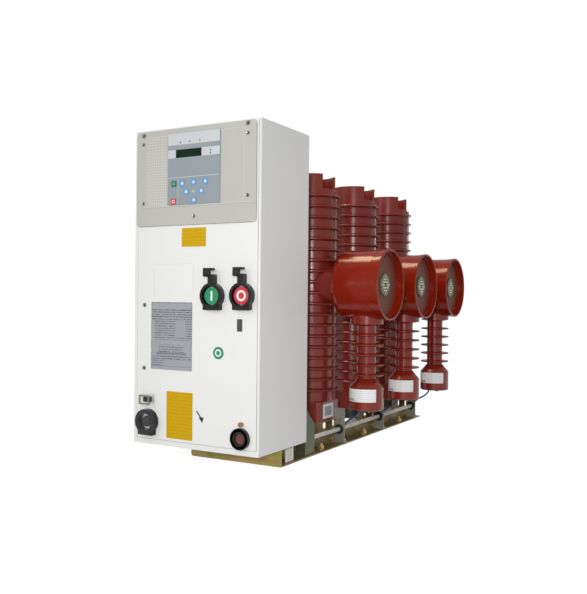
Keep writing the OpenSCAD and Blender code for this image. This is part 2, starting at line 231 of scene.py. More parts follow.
finishes = {
    "whitePaint": makeFinish("whitePaint", (236, 236, 234), (232, 232, 230), 0.42, drift=3.0,
                             grain=900.0, relief=0.12, coat=0.05),
    "fasciaGrey": makeFinish("fasciaGrey", (190, 189, 183), (186, 185, 179), 0.5, grain=1200.0),
    "relayFoil": makeFinish("relayFoil", (144, 152, 158), (148, 156, 162), 0.48, grain=1500.0),
    "relayBand": makeFinish("relayBand", (204, 208, 210), (200, 204, 207), 0.5, grain=1500.0),
    "displayGlass": makeFinish("displayGlass", (10, 38, 22), (8, 32, 18), 0.45, gloss=0.12, grain=1800.0),
    "blackPlastic": makeFinish("blackPlastic", (14, 14, 15), (19, 19, 20), 0.24, gloss=0.32,
                               grain=1600.0, relief=0.06),
    "greenCap": makeFinish("greenCap", (0, 142, 96), (0, 136, 92), 0.3, coat=0.3, grain=1500.0),
    "redCap": makeFinish("redCap", (208, 44, 58), (202, 40, 54), 0.3, coat=0.3, grain=1500.0),
    "whiteMark": makeFinish("whiteMark", (242, 244, 240), (238, 240, 238), 0.4, grain=1500.0),
    "counterWindow": makeFinish("counterWindow", (58, 60, 60), (48, 50, 50), 0.25, coat=0.5),
    "ratingFoil": makeFinish("ratingFoil", (160, 164, 170), (155, 159, 165), 0.42, metallic=0.15,
                             printed={"pitch": 0.0047, "share": 0.36, "dash": 620.0, "strength": 0.9,
                                      "ink": (52, 56, 62)}),
    "plateBlank": makeFinish("plateBlank", (160, 164, 170), (155, 159, 165), 0.42, metallic=0.15),
    "yellowLabel": makeFinish("yellowLabel", (208, 166, 0), (204, 162, 0), 0.5, gloss=0.2,
                              printed={"pitch": 0.0068, "share": 0.2, "dash": 420.0, "strength": 0.3,
                                       "ink": (110, 88, 10)}),
    "whiteLabel": makeFinish("whiteLabel", (253, 254, 255), (250, 251, 252), 0.45,
                             printed={"pitch": 0.0042, "share": 0.3, "dash": 620.0, "strength": 0.34,
                                      "ink": (120, 124, 130)}),
    "clearCover": makeFinish("clearCover", (160, 165, 168), (150, 156, 160), 0.05, gloss=0.3, alpha=0.04),
    "brightSteel": makeFinish("brightSteel", (168, 164, 150), (140, 136, 120), 0.32, metallic=0.9,
                              grain=1500.0),
    "darkSocket": makeFinish("darkSocket", (46, 48, 50), (36, 38, 40), 0.4, metallic=0.5),
    "rustSocket": makeFinish("rustSocket", (112, 66, 56), (88, 54, 48), 0.55, metallic=0.3, drift=60.0),
    "brassKnob": makeFinish("brassKnob", (172, 138, 104), (132, 100, 76), 0.35, metallic=0.8, drift=90.0),
    "yellowZinc": makePassivatedZinc("yellowZinc", (176, 164, 78), (128, 124, 50), (168, 118, 92), 0.36),
    "oliveZinc": makePassivatedZinc("oliveZinc", (92, 98, 70), (74, 82, 58), (108, 96, 70), 0.42),
    "railZinc": makePassivatedZinc("railZinc", (146, 132, 88), (106, 96, 62), (126, 98, 84), 0.4),
    "bracketZinc": makePassivatedZinc("bracketZinc", (158, 138, 86), (116, 102, 62), (150, 112, 84), 0.4),
    "greyZinc": makeFinish("greyZinc", (156, 158, 148), (138, 140, 130), 0.42, metallic=0.35, drift=24.0),
    "goldBolt": makeFinish("goldBolt", (196, 170, 104), (164, 134, 74), 0.32, metallic=0.7, drift=70.0),
    "poleResin": makeFinish("poleResin", (132, 44, 32), (120, 39, 29), 0.25, gloss=0.42, drift=5.0,
                            grain=260.0, relief=0.02),
    "bellResin": makeFinish("bellResin", (141, 30, 5), (131, 27, 5), 0.16, gloss=0.28, drift=5.0,
                            grain=260.0, relief=0.02),
    "postResin": makeFinish("postResin", (140, 40, 25), (128, 36, 23), 0.23, gloss=0.42, drift=6.0,
                            grain=260.0, relief=0.02),
    "discResin": makeFinish("discResin", (118, 70, 57), (106, 61, 50), 0.5, gloss=0.25, drift=12.0),
    "silverContact": makeFinish("silverContact", (128, 130, 108), (108, 110, 90), 0.42, metallic=0.5,
                                drift=60.0),
    "silverStud": makeFinish("silverStud", (222, 222, 204), (204, 204, 184), 0.25, metallic=0.9),
    "rubberBlack": makeFinish("rubberBlack", (26, 27, 32), (20, 21, 26), 0.6),
    "conduitGrey": makeFinish("conduitGrey", (222, 220, 212), (206, 202, 190), 0.5, drift=18.0),
    "cableBlue": makeFinish("cableBlue", (58, 92, 150), (48, 78, 132), 0.4, drift=40.0),
    "seamLine": makeFinish("seamLine", (212, 212, 208), (208, 208, 204), 0.5),
    "seamShadow": makeFinish("seamShadow", (176, 176, 172), (170, 170, 166), 0.6),
    "inkAndShadeBlack": makeFinish("inkAndShadeBlack", (34, 34, 36), (30, 30, 32), 0.5),
    "inkAndShadeGrey": makeFinish("inkAndShadeGrey", (120, 124, 130), (114, 118, 124), 0.5),
}
print("stage: finishes made,", len(finishes))


# The foil keys share one node, so their colour follows their place: the left column is the
# green and red pair and the rest are blue
def makeKeyFoil():
    material = makeFinish("keyFoil", (96, 158, 214), (90, 150, 208), 0.42, grain=1500.0)
    tree = material.node_tree
    shader = tree.nodes["Principled BSDF"]
    base = shader.inputs["Base Color"].links[0].from_socket
    low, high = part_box("relay_keys")
    place = tree.nodes.new("ShaderNodeTexCoord")
    split = tree.nodes.new("ShaderNodeSeparateXYZ")
    tree.links.new(place.outputs["Object"], split.inputs[0])
    isUpper = addMath(tree, "GREATER_THAN", split.outputs["Z"], (low.z + high.z) / 2)
    pair = mixColours(tree, isUpper, linear((204, 60, 70)), linear((0, 116, 84)))
    isLeft = addMath(tree, "LESS_THAN", split.outputs["X"], low.x + 0.015)
    tree.links.new(mixColours(tree, isLeft, base, pair), shader.inputs["Base Color"])
    return material


finishes["keyFoil"] = makeKeyFoil()

nodeFinish = {
    "housing_shell": "whitePaint", "front_cover": "whitePaint", "fascia_panel": "fasciaGrey",
    "relay_frame": "relayFoil", "relay_display": "displayGlass", "relay_keys": "keyFoil",
    "close_guard": "blackPlastic", "open_guard": "blackPlastic", "close_button": "greenCap",
    "open_button": "redCap", "operation_counter": "counterWindow", "state_indicator": "greenCap",
    "rating_plate": "ratingFoil", "instruction_labels": "yellowLabel", "lock_guard": "blackPlastic",
    "lock_cover": "clearCover", "lock_cylinder": "darkSocket", "charging_socket": "blackPlastic",
    "socket_knob": "brassKnob", "cover_screws": "brightSteel", "base_rails": "railZinc",
    "base_front_plate": "yellowZinc", "base_rear_plate": "railZinc", "housing_gussets": "oliveZinc",
    "cable_plates": "greyZinc", "cable_grommets": "rubberBlack", "wiring_conduit": "conduitGrey",
    "sensor_cables": "cableBlue", "rail_bolts": "goldBolt", "wiring_sleeves": "conduitGrey",
}
for number in ("1", "2", "3"):
    nodeFinish["pole_" + number] = "poleResin"
    nodeFinish["head_contact_" + number] = "silverContact"
    nodeFinish["bell_" + number] = "bellResin"
    nodeFinish["bell_contact_" + number] = "silverContact"
    nodeFinish["post_insulator_" + number] = "postResin"
    nodeFinish["pole_bracket_" + number] = "bracketZinc"
for nodeName, finishName in nodeFinish.items():
    mesh = nodes[nodeName].data
    mesh.materials.clear()
    mesh.materials.append(finishes[finishName])
print("stage: CAD nodes finished")


# Making a piece from a bmesh

def placePiece(name, shape, finish, body=fixedBody, bevel=0.0):
    bmesh.ops.remove_doubles(shape, verts=shape.verts, dist=1e-6)
    bmesh.ops.recalc_face_normals(shape, faces=shape.faces)
    mesh = bpy.data.meshes.new(name)
    shape.to_mesh(mesh)
    shape.free()
    mesh.materials.append(finishes[finish])
    piece = bpy.data.objects.new(name, mesh)
    bpy.context.scene.collection.objects.link(piece)
    if bevel:
        soften = piece.modifiers.new("soften", "BEVEL")
        soften.width = bevel
        soften.segments = 2
        soften.limit_method = "ANGLE"
    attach(piece, body)
    return piece


# A thin bar on the front, between two corners, standing out from y by rise
def addBar(shape, left, right, bottom, top, y, rise):
    size = Vector((right - left, rise, top - bottom))
    centre = Vector(((left + right) / 2, y - rise / 2, (bottom + top) / 2))
    bmesh.ops.create_cube(shape, size=1.0, matrix=Matrix.Translation(centre) @ Matrix.Diagonal((*size, 1.0)))


# A round boss with a softened rim; turn sends its +Z where it faces
def addBoss(shape, centre, radius, height, turn, segments=32, chamfer=0.0, sink=0.0, sinkRadius=0.0):
    made = bmesh.ops.create_cone(shape, cap_ends=True, segments=segments, radius1=radius, radius2=radius,
                                 depth=height, matrix=Matrix.Translation(centre) @ turn
                                 @ Matrix.Translation((0, 0, height / 2)))
    outward = turn.to_3x3() @ Vector((0, 0, 1))
    face = max({f for v in made["verts"] for f in v.link_faces},
               key=lambda f: f.calc_center_median().dot(outward))
    if chamfer:
        bmesh.ops.inset_region(shape, faces=[face], thickness=chamfer, depth=0)
        for v in face.verts:
            v.co += outward * 0.0
        rim = {v for e in face.edges for f in e.link_faces if f is not face for v in f.verts} - set(face.verts)
        for v in rim:
            v.co -= outward * chamfer
    if sink:
        bmesh.ops.inset_region(shape, faces=[face], thickness=max(radius - chamfer - sinkRadius, 1e-4), depth=0)
        for v in face.verts:
            v.co -= outward * sink


# A flat ring facing the front
def addRing(shape, centre, outer, inner, rise, turn=facing, segments=48):
    edge = bmesh.ops.create_circle(shape, segments=4, radius=0.5, cap_ends=False)
    square = edge["verts"]
    corners = [(inner, 0.0), (outer, 0.0), (outer, rise), (inner, rise)]
    for v, (across, up) in zip(square, corners):
        v.co = Vector((across, 0, up))
    ring = set(square)
    edges = {e for v in square for e in v.link_edges}
    spun = bmesh.ops.spin(shape, geom=list(ring) + list(edges), cent=(0, 0, 0), axis=(0, 0, 1),
                          angle=math.tau, steps=segments, use_merge=True)
    every = {v for f in shape.faces for v in f.verts if abs(v.co.z) < rise + 1e-6 and v.co.xy.length < outer + 1e-6}
    bmesh.ops.transform(shape, matrix=Matrix.Translation(centre) @ turn, verts=list(every))
    return spun


# Push-button marks: a bar on the closing button and a ring on the opening one
buttonMarks = {"barWidth": 0.0042, "barHeight": 0.019, "ringOuter": 0.0105, "ringInner": 0.0066, "rise": 0.0003}

closeCentre, openCentre = boxCentre("close_button"), boxCentre("open_button")
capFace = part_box("close_button")[0].y
mark = bmesh.new()
addBar(mark, closeCentre.x - buttonMarks["barWidth"] / 2, closeCentre.x + buttonMarks["barWidth"] / 2,
       closeCentre.z - buttonMarks["barHeight"] / 2, closeCentre.z + buttonMarks["barHeight"] / 2,
       capFace, buttonMarks["rise"])
placePiece("closeMark", mark, "whiteMark", body="close_button")
mark = bmesh.new()
addRing(mark, Vector((openCentre.x, capFace, openCentre.z)), buttonMarks["ringOuter"],
        buttonMarks["ringInner"], buttonMarks["rise"])
placePiece("openMark", mark, "whiteMark", body="open_button")

# The state indicator's ring
indicatorCentre = boxCentre("state_indicator")
mark = bmesh.new()
addRing(mark, Vector((indicatorCentre.x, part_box("state_indicator")[0].y, indicatorCentre.z)),
        0.0072, 0.0046, 0.0002)
placePiece("stateMark", mark, "whiteMark")
print("stage: push-button marks")

# Rounded collars on the guards, so their front edges catch the light
guardCollar = {"outer": 0.0247, "inner": 0.0197, "rise": 0.0012}
for guardName in ("close_guard", "open_guard", "lock_guard"):
    low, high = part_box(guardName)
    middle = Vector(((low.x + high.x) / 2, low.y, low.z + 0.0275))
    if guardName != "lock_guard":
        middle.y = boxCentre(guardName.replace("guard", "button")).y - boxSize("close_button").y / 2 - 0.005
    middle.y = middle.y if guardName != "lock_guard" else low.y
    collar = bmesh.new()
    addRing(collar, middle + Vector((0, 0.0004, 0)), guardCollar["outer"], guardCollar["inner"],
            guardCollar["rise"])
    placePiece(guardName + "Collar", collar, "blackPlastic", bevel=0.0005)

# Relay front: light bands, lamps, and key symbols
relayLook = {"bandTop": (0.6076, 0.6315), "bandDisplay": (0.5817, 0.598), "thinLine": 0.5424,
             "lampRadius": 0.0014, "lampLefts": (0.186, 0.163, 0.138), "smallLampLeft": 0.1121}
bands = bmesh.new()
left, right = relayLow.x, relayHigh.x
displayLow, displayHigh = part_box("relay_display")
bottom, top = (houseLow.z + v for v in relayLook["bandTop"])
addBar(bands, left + 0.0005, right - 0.0005, bottom, top - 0.0005, relayFace, 0.0002)
bottom, top = (houseLow.z + v for v in relayLook["bandDisplay"])
addBar(bands, left + 0.0005, displayLow.x - 0.0006, bottom, top, relayFace, 0.0002)
addBar(bands, displayHigh.x + 0.0006, right - 0.0005, bottom, top, relayFace, 0.0002)
line = houseLow.z + relayLook["thinLine"]
addBar(bands, left + 0.0005, right - 0.0005, line - 0.0005, line + 0.0005, relayFace, 0.0002)
upright = houseHigh.x - 0.1917
addBar(bands, upright - 0.0004, upright + 0.0004, relayLow.z + 0.001, line, relayFace, 0.0002)
keysLow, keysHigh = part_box("relay_keys")
crossX, crossZ = houseHigh.x - 0.1533, houseLow.z + 0.5127
addBar(bands, crossX - 0.004, crossX + 0.004, crossZ - 0.0005, crossZ + 0.0005, relayFace, 0.0002)
addBar(bands, crossX - 0.0005, crossX + 0.0005, crossZ - 0.004, crossZ + 0.004, relayFace, 0.0003)
placePiece("relayBands", bands, "relayBand")
lamps = bmesh.new()
for away in relayLook["lampLefts"]:
    addBoss(lamps, frontPoint(away, 0.6125, relayFace - 0.0002), relayLook["lampRadius"], 0.0006, facing, 16)
for up in (0.5913, 0.5855):
    addBoss(lamps, frontPoint(relayLook["smallLampLeft"], up, relayFace - 0.0002),
            relayLook["lampRadius"], 0.0006, facing, 16)
placePiece("relayLamps", lamps, "inkAndShadeBlack")

# Key symbols: a bar, a ring, and pale squares
symbols = bmesh.new()
keyFace = keysLow.y
addBar(symbols, houseHigh.x - 0.2018, houseHigh.x - 0.2006, houseLow.z + 0.5275, houseLow.z + 0.5325, keyFace, 0.0002)
for away, up in ((0.1811, 0.530), (0.1533, 0.531), (0.1246, 0.531), (0.1715, 0.5127), (0.1342, 0.5127),
                 (0.1524, 0.4955)):
    centre = frontPoint(away, up, keyFace)
    addBar(symbols, centre.x - 0.0012, centre.x + 0.0034, centre.z - 0.0024, centre.z + 0.0024, keyFace, 0.0002)
placePiece("keySymbols", symbols, "whiteMark")
ring = bmesh.new()
addRing(ring, frontPoint(0.2022, 0.4945, keyFace), 0.0036, 0.0024, 0.0002)
placePiece("keyRing", ring, "whiteMark")
print("stage: relay front")

# Perforated field left of the relay, as crossing slats
ventField = {"left": 0.2722, "right": 0.2242, "bottom": 0.4825, "top": 0.6286, "columns": 8, "rows": 26,
             "line": 0.0009, "rise": 0.0003}
slats = bmesh.new()
x0, x1 = houseHigh.x - ventField["left"], houseHigh.x - ventField["right"]
z0, z1 = houseLow.z + ventField["bottom"] + 0.006, houseLow.z + ventField["top"]
for step in range(ventField["columns"] + 1):
    x = x0 + (x1 - x0) * step / ventField["columns"]
    addBar(slats, x - ventField["line"] / 2, x + ventField["line"] / 2, z0, z1, fasciaFace, ventField["rise"])
for step in range(ventField["rows"] + 1):
    z = z0 + (z1 - z0) * step / ventField["rows"]
    addBar(slats, x0, x1, z - ventField["line"] / 2, z + ventField["line"] / 2, fasciaFace, ventField["rise"] * 1.1)
placePiece("ventSlats", slats, "seamLine")

# Fine raised lines on the fascia and on the cover
panelLines = {"fasciaRight": 0.0364, "width": 0.0008, "rise": 0.0003}
lines = bmesh.new()
x = houseHigh.x - panelLines["fasciaRight"]
addBar(lines, x, x + panelLines["width"], houseLow.z + 0.487, fasciaHigh.z - 0.012, fasciaFace, panelLines["rise"])
addBar(lines, fasciaLow.x + 0.012, x, fasciaHigh.z - 0.0135, fasciaHigh.z - 0.0127, fasciaFace, panelLines["rise"])
addBar(lines, fasciaLow.x + 0.003, fasciaHigh.x - 0.003, houseLow.z + 0.4849, houseLow.z + 0.4862, fasciaFace,
       panelLines["rise"])
placePiece("fasciaLines", lines, "relayBand")
flap = bmesh.new()
flapLeft, flapRight = houseHigh.x - 0.253, houseHigh.x - 0.155
flapTop, flapBottom = houseLow.z + 0.369, houseLow.z + 0.3035
for x in (flapLeft, flapRight):
    addBar(flap, x, x + 0.0006, flapBottom, flapTop, coverFace, 0.0003)
addBar(flap, flapLeft, flapRight, flapTop, flapTop + 0.0005, coverFace, 0.0002)
placePiece("flapOutline", flap, "seamLine")

# Ruled lines and a row of dashes on the rating plate
plateLow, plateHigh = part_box("rating_plate")
rules = bmesh.new()
plateTall = plateHigh.z - plateLow.z
plateWide = plateHigh.x - plateLow.x
for share, thick in ((0.875, 0.0007), (0.79, 0.0004), (0.74, 0.0007), (0.19, 0.0006), (0.145, 0.0004), (0.05, 0.0007)):
    z = plateLow.z + plateTall * share
    addBar(rules, plateLow.x + 0.003, plateHigh.x - 0.002, z, z + thick, plateLow.y, 0.0002)
for share in (0.34, 0.67):
    x = plateLow.x + (plateHigh.x - plateLow.x) * share
    addBar(rules, x, x + 0.0005, plateLow.z + plateTall * 0.05, plateLow.z + plateTall * 0.145, plateLow.y, 0.0002)
for step in range(18):
    x = plateLow.x + 0.016 + step * 0.0041
    addBar(rules, x, x + 0.0028, plateLow.z + plateTall * 0.235, plateLow.z + plateTall * 0.258, plateLow.y, 0.0002)
placePiece("plateRules", rules, "inkAndShadeGrey")
blanks = bmesh.new()
for left, right, low, high in ((0.02, 0.98, 0.895, 0.985), (0.02, 0.98, 0.37, 0.44), (0.02, 0.2, 0.265, 0.37),
                               (0.8, 0.98, 0.265, 0.37), (0.02, 0.1, 0.44, 0.73), (0.02, 0.14, 0.2, 0.265),
                               (0.86, 0.98, 0.2, 0.265), (0.3, 0.98, 0.055, 0.14), (0.6, 0.84, 0.5, 0.73),
                               (0.02, 0.98, 0.0, 0.045)):
    addBar(blanks, plateLow.x + plateWide * left, plateLow.x + plateWide * right,
           plateLow.z + plateTall * low, plateLow.z + plateTall * high, plateLow.y, 0.0001)
placePiece("plateBlanks", blanks, "plateBlank")

# The lever's turning mark: a small arrow down to the right
arrow = bmesh.new()
bmesh.ops.create_cone(arrow, cap_ends=True, segments=3, radius1=0.0068, radius2=0.0068, depth=0.0004)
bmesh.ops.scale(arrow, vec=(1.15, 1.0, 1.0), verts=arrow.verts)
bmesh.ops.create_cube(arrow, size=1.0, matrix=Matrix.Translation((-0.011, 0, 0))
                              @ Matrix.Diagonal((0.018, 0.0026, 0.0004, 1)))
turned = Matrix.Translation(frontPoint(0.131, 0.062, coverFace - 0.0002)) @ facing @ Matrix.Rotation(math.radians(-52), 4, "Z")
bmesh.ops.transform(arrow, matrix=turned, verts=arrow.verts)
placePiece("turnArrow", arrow, "inkAndShadeBlack")
print("stage: front lines and plates")

# Socket-head screws in place of the plain CAD discs
screwLook = {"socketShare": 0.5, "sink": 0.0009, "chamfer": 0.0005}
screws = bmesh.new()
for away, up, radius, face in ((0.2827, 0.616, 0.0037, fasciaFace), (0.0268, 0.617, 0.0037, fasciaFace),
                               (0.2817, 0.4945, 0.0037, fasciaFace), (0.0268, 0.4983, 0.0037, fasciaFace),
                               (0.1533, 0.4638, 0.0037, fasciaFace), (0.2817, 0.634, 0.005, fasciaFace),
                               (0.0268, 0.6362, 0.005, fasciaFace), (0.2779, 0.2856, 0.0045, coverFace),
                               (0.2779, 0.1562, 0.0045, coverFace)):
    addBoss(screws, frontPoint(away, up, face), radius, 0.0018, facing, 24, screwLook["chamfer"],
            screwLook["sink"], radius * screwLook["socketShare"])
screwPiece = placePiece("coverScrews", screws, "brightSteel")
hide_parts("cover_screws")
# Painted shade: a black hexagon at the bottom of each shallow screw socket stands for the shade in the hole; the same
# black is also print ink and black parts elsewhere
socketShade = bmesh.new()
for away, up, radius, face in ((0.2827, 0.616, 0.0037, fasciaFace), (0.0268, 0.617, 0.0037, fasciaFace),
                               (0.2817, 0.4945, 0.0037, fasciaFace), (0.0268, 0.4983, 0.0037, fasciaFace),
                               (0.1533, 0.4638, 0.0037, fasciaFace), (0.2817, 0.634, 0.005, fasciaFace),
                               (0.0268, 0.6362, 0.005, fasciaFace), (0.2779, 0.2856, 0.0045, coverFace),
                               (0.2779, 0.1562, 0.0045, coverFace)):
    addBoss(socketShade, frontPoint(away, up, face - 0.0009), radius * 0.5, 0.0002, facing, 6)
placePiece("screwSocketShade", socketShade, "inkAndShadeBlack")

# Charging socket: a shallow rusty cup in its ring
socketLow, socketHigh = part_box("charging_socket")
socketMiddle = (socketLow + socketHigh) / 2
cup = bmesh.new()
addBoss(cup, Vector((socketMiddle.x, socketLow.y + 0.0053, socketMiddle.z)), 0.0106, 0.002, facing, 32, 0.0006, 0.0012, 0.005)
placePiece("socketCup", cup, "rustSocket")
collar = bmesh.new()
addRing(collar, Vector((socketMiddle.x, socketLow.y + 0.0005, socketMiddle.z)), 0.0195, 0.014, 0.0005)
placePiece("socketRim", collar, "counterWindow", bevel=0.0002)

# Lock: a dark barrel face and a steel shackle in the hasp box
lockCentre = boxCentre("lock_cylinder")
barrel = bmesh.new()
addBoss(barrel, Vector((lockCentre.x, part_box("lock_cylinder")[0].y, lockCentre.z)), 0.0095, 0.0015, facing, 32,
        0.0005, 0.0008, 0.006)
placePiece("lockBarrel", barrel, "darkSocket")
lensLow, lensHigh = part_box("lock_cover")
hasp = bmesh.new()
addBar(hasp, lockCentre.x - 0.0085, lockCentre.x + 0.0085, lensHigh.z - 0.0155, lensHigh.z - 0.0045, coverFace, 0.009)
placePiece("lockHasp", hasp, "inkAndShadeBlack", bevel=0.001)
keeper = bmesh.new()
for x0, x1, z0, z1 in ((-0.0136, -0.0095, 0.0, 0.019), (0.0095, 0.0136, 0.0, 0.019), (-0.0095, 0.0095, 0.0155, 0.019),
                       (-0.0095, 0.0095, 0.0, 0.003)):
    addBar(keeper, lockCentre.x + x0, lockCentre.x + x1, lensHigh.z - 0.0195 + z0, lensHigh.z - 0.0195 + z1,
           lensLow.y + 0.0006, 0.0006)
placePiece("lockKeeper", keeper, "brightSteel", bevel=0.0002)
print("stage: screws, socket and lock")

# Bells: disc face and contact studs
bellLook = {"contactRise": 0.004, "studRadius": 0.0021, "studRise": 0.0012, "spacing": 0.0062, "discOuter": 0.0695}
for number in ("1", "2", "3"):
    bellLow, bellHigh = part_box("bell_" + number)
    contactLow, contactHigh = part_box("bell_contact_" + number)
    middle = Vector((contactHigh.x - bellLook["contactRise"], (bellLow.y + bellHigh.y) / 2, (bellLow.z + bellHigh.z) / 2))
    disc = bmesh.new()
    addRing(disc, middle, bellLook["discOuter"], 0.0252, 0.0006, turn=sideways, segments=64)
    placePiece("bellDisc" + number, disc, "discResin")
    studs = bmesh.new()
    for row in range(-3, 4):
        for column in range(-3, 4):
            if abs(row) + abs(column) > 3 or (row == 0 and column == 0):
                continue
            spot = Vector((contactHigh.x, middle.y + row * bellLook["spacing"], middle.z + column * bellLook["spacing"]))
            if (spot - Vector((contactHigh.x, middle.y, middle.z))).length < 0.0065 * 0.9:
                continue
            addBoss(studs, spot, bellLook["studRadius"], bellLook["studRise"], sideways, 10, 0.0005)
    placePiece("contactStuds" + number, studs, "silverStud")
print("stage: bells")


# A strip of paper wrapped round an upright cylinder, between two turns from -Y, as a thin shell
def addWrap(shape, centreX, centreY, radius, bottom, top, fromTurn, toTurn, steps=24):
    start = Matrix.Rotation(fromTurn, 3, "Z") @ Vector((0, -radius, 0))
    foot = shape.verts.new((centreX + start.x, centreY + start.y, bottom))
    head = shape.verts.new((centreX + start.x, centreY + start.y, top))
    edge = shape.edges.new((foot, head))
    bmesh.ops.spin(shape, geom=[foot, head, edge], cent=(centreX, centreY, 0), axis=(0, 0, 1),
                   angle=toTurn - fromTurn, steps=steps)


postLabel = {"bottom": 0.1072, "top": 0.1358, "from": math.radians(-52), "to": math.radians(58), "clear": 0.0002}
footBump = {"radius": 0.0035, "drop": 0.004, "apart": 0.013}
for number in ("1", "2", "3"):
    postLow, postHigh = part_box("post_insulator_" + number)
    centreX, centreY = (postLow.x + postHigh.x) / 2, (postLow.y + postHigh.y) / 2
    footRadius = (postHigh.x - postLow.x) / 2
    wrap = bmesh.new()
    addWrap(wrap, centreX, centreY, footRadius + postLabel["clear"], postLabel["bottom"], postLabel["top"],
            postLabel["from"], postLabel["to"])
    piece = placePiece("postLabel" + number, wrap, "whiteLabel")
    code = bmesh.new()
    for step in range(9):
        turn = postLabel["from"] + 0.10 + step * 0.055
        addWrap(code, centreX, centreY, footRadius + postLabel["clear"] * 2, postLabel["bottom"] + 0.0015,
                postLabel["bottom"] + 0.0075, turn, turn + 0.03, 2)
    placePiece("postCode" + number, code, "inkAndShadeGrey")
    bumps = bmesh.new()
    for side in (-1, 1):
        addBoss(bumps, Vector((centreX + 0.012, centreY + side * footBump["apart"], postLow.z - footBump["drop"])),
                footBump["radius"], footBump["drop"], Matrix.Identity(4), 20, 0.0)
    placePiece("footBumps" + number, bumps, "goldBolt")

# Label with bars on each foot block
blockLabel = {"y": (-0.036, 0.014), "z": (0.0615, 0.0945), "rise": 0.0003}
for number in ("1", "2", "3"):
    poleLow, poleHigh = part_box("pole_" + number)
    bracketLow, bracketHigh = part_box("pole_bracket_" + number)
    bellLow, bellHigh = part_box("bell_" + number)
    poleY = (bellLow.y + bellHigh.y) / 2
    poleX = poleLow.x + 0.0655
    face = poleX + 0.052
    sheet = bmesh.new()
    y0, y1 = (poleY + v for v in blockLabel["y"])
    z0, z1 = blockLabel["z"]
    bmesh.ops.create_cube(sheet, size=1.0, matrix=Matrix.Translation((face + blockLabel["rise"] / 2, (y0 + y1) / 2, (z0 + z1) / 2))
                          @ Matrix.Diagonal((blockLabel["rise"], y1 - y0, z1 - z0, 1)))
    placePiece("blockLabel" + number, sheet, "whiteLabel")
    code = bmesh.new()
    for step in range(16):
        y = y0 + 0.008 + step * 0.0022
        bmesh.ops.create_cube(code, size=1.0, matrix=Matrix.Translation((face + 0.0004, y, (z0 + z1) / 2))
                              @ Matrix.Diagonal((0.0003, 0.0011, (z1 - z0) * 0.66, 1)))
    placePiece("blockCode" + number, code, "inkAndShadeGrey")
print("stage: labels")

# Bolts along the base: hex heads with washers
boltLook = {"across": 0.0075, "height": 0.0052, "washer": 0.009, "washerThick": 0.0014}


def addHexBolt(shape, centre, turn, size=1.0):
    outward = turn.to_3x3() @ Vector((0, 0, 1))
    addBoss(shape, centre, boltLook["washer"] * size, boltLook["washerThick"], turn, 28, 0.0004)
    addBoss(shape, centre + outward * boltLook["washerThick"], boltLook["across"] * size,
            boltLook["height"] * size, turn, 6, 0.0008)


railLow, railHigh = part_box("base_rails")
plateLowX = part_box("cable_plates")[0].x
bolts = bmesh.new()
for number in ("1", "2", "3"):
    bellLow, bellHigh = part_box("bell_" + number)
    poleY = (bellLow.y + bellHigh.y) / 2
    addHexBolt(bolts, Vector((plateLowX - 0.0001, poleY - 0.001, 0.013)), sideways, 0.9)
    addHexBolt(bolts, Vector((plateLowX + 0.019, poleY + 0.0245, 0.005)), Matrix.Identity(4), 0.8)
    for across in (0.006, 0.018):
        addBoss(bolts, Vector((plateLowX + across, poleY + 0.012, 0.055)), 0.0036, 0.0024, facing, 20, 0.0008)
    addHexBolt(bolts, Vector((0.066, poleY + 0.010, 0.022)), facing, 0.9)
placePiece("baseBolts", bolts, "goldBolt")

# A pale inner tray edge seen over the rail
tray = bmesh.new()
trayEdge = {"x": 0.056, "z": 0.026, "tall": 0.011, "thick": 0.006}
trayEnds = (houseHigh.y + 0.004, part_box("pole_bracket_3")[1].y)
bmesh.ops.create_cube(tray, size=1.0, matrix=Matrix.Translation((trayEdge["x"], sum(trayEnds) / 2, trayEdge["z"]))
                      @ Matrix.Diagonal((trayEdge["thick"], trayEnds[1] - trayEnds[0], trayEdge["tall"], 1)))
placePiece("trayEdge", tray, "conduitGrey", bevel=0.001)

# The closed foot of each pole's linkage, under its saddle
linkageFoot = {"radius": 0.036, "tall": 0.022, "chamfer": 0.003}
for number in ("1", "2", "3"):
    poleLow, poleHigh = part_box("pole_" + number)
    bellLow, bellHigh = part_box("bell_" + number)
    boss = bmesh.new()
    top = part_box("pole_bracket_" + number)[1].z - 0.0032
    addBoss(boss, Vector((poleLow.x + 0.0655, (bellLow.y + bellHigh.y) / 2 - 0.014, top)), linkageFoot["radius"],
            linkageFoot["tall"], Matrix.Rotation(math.pi, 4, "X"), 40, linkageFoot["chamfer"])
    placePiece("linkageFoot" + number, boss, "inkAndShadeBlack")

# A raised mould seam down each column, on the side towards the bells
columnSeam = {"turn": math.radians(20), "radius": 0.0545, "width": 0.006, "rise": 0.0045, "bottom": 0.1, "top": 0.586}
for number in ("1", "2", "3"):
    poleLow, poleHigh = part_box("pole_" + number)
    bellLow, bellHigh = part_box("bell_" + number)
    axis = Vector((poleLow.x + 0.0655, (bellLow.y + bellHigh.y) / 2, 0))
    seam = bmesh.new()
    tall = columnSeam["top"] - columnSeam["bottom"]
    bmesh.ops.create_cube(seam, size=1.0, matrix=Matrix.Translation(axis) @ Matrix.Rotation(columnSeam["turn"], 4, "Z")
                          @ Matrix.Translation((columnSeam["radius"], 0, columnSeam["bottom"] + tall / 2))
                          @ Matrix.Diagonal((columnSeam["rise"] * 2, columnSeam["width"], tall, 1)))
    placePiece("columnSeam" + number, seam, "poleResin", bevel=0.0012)
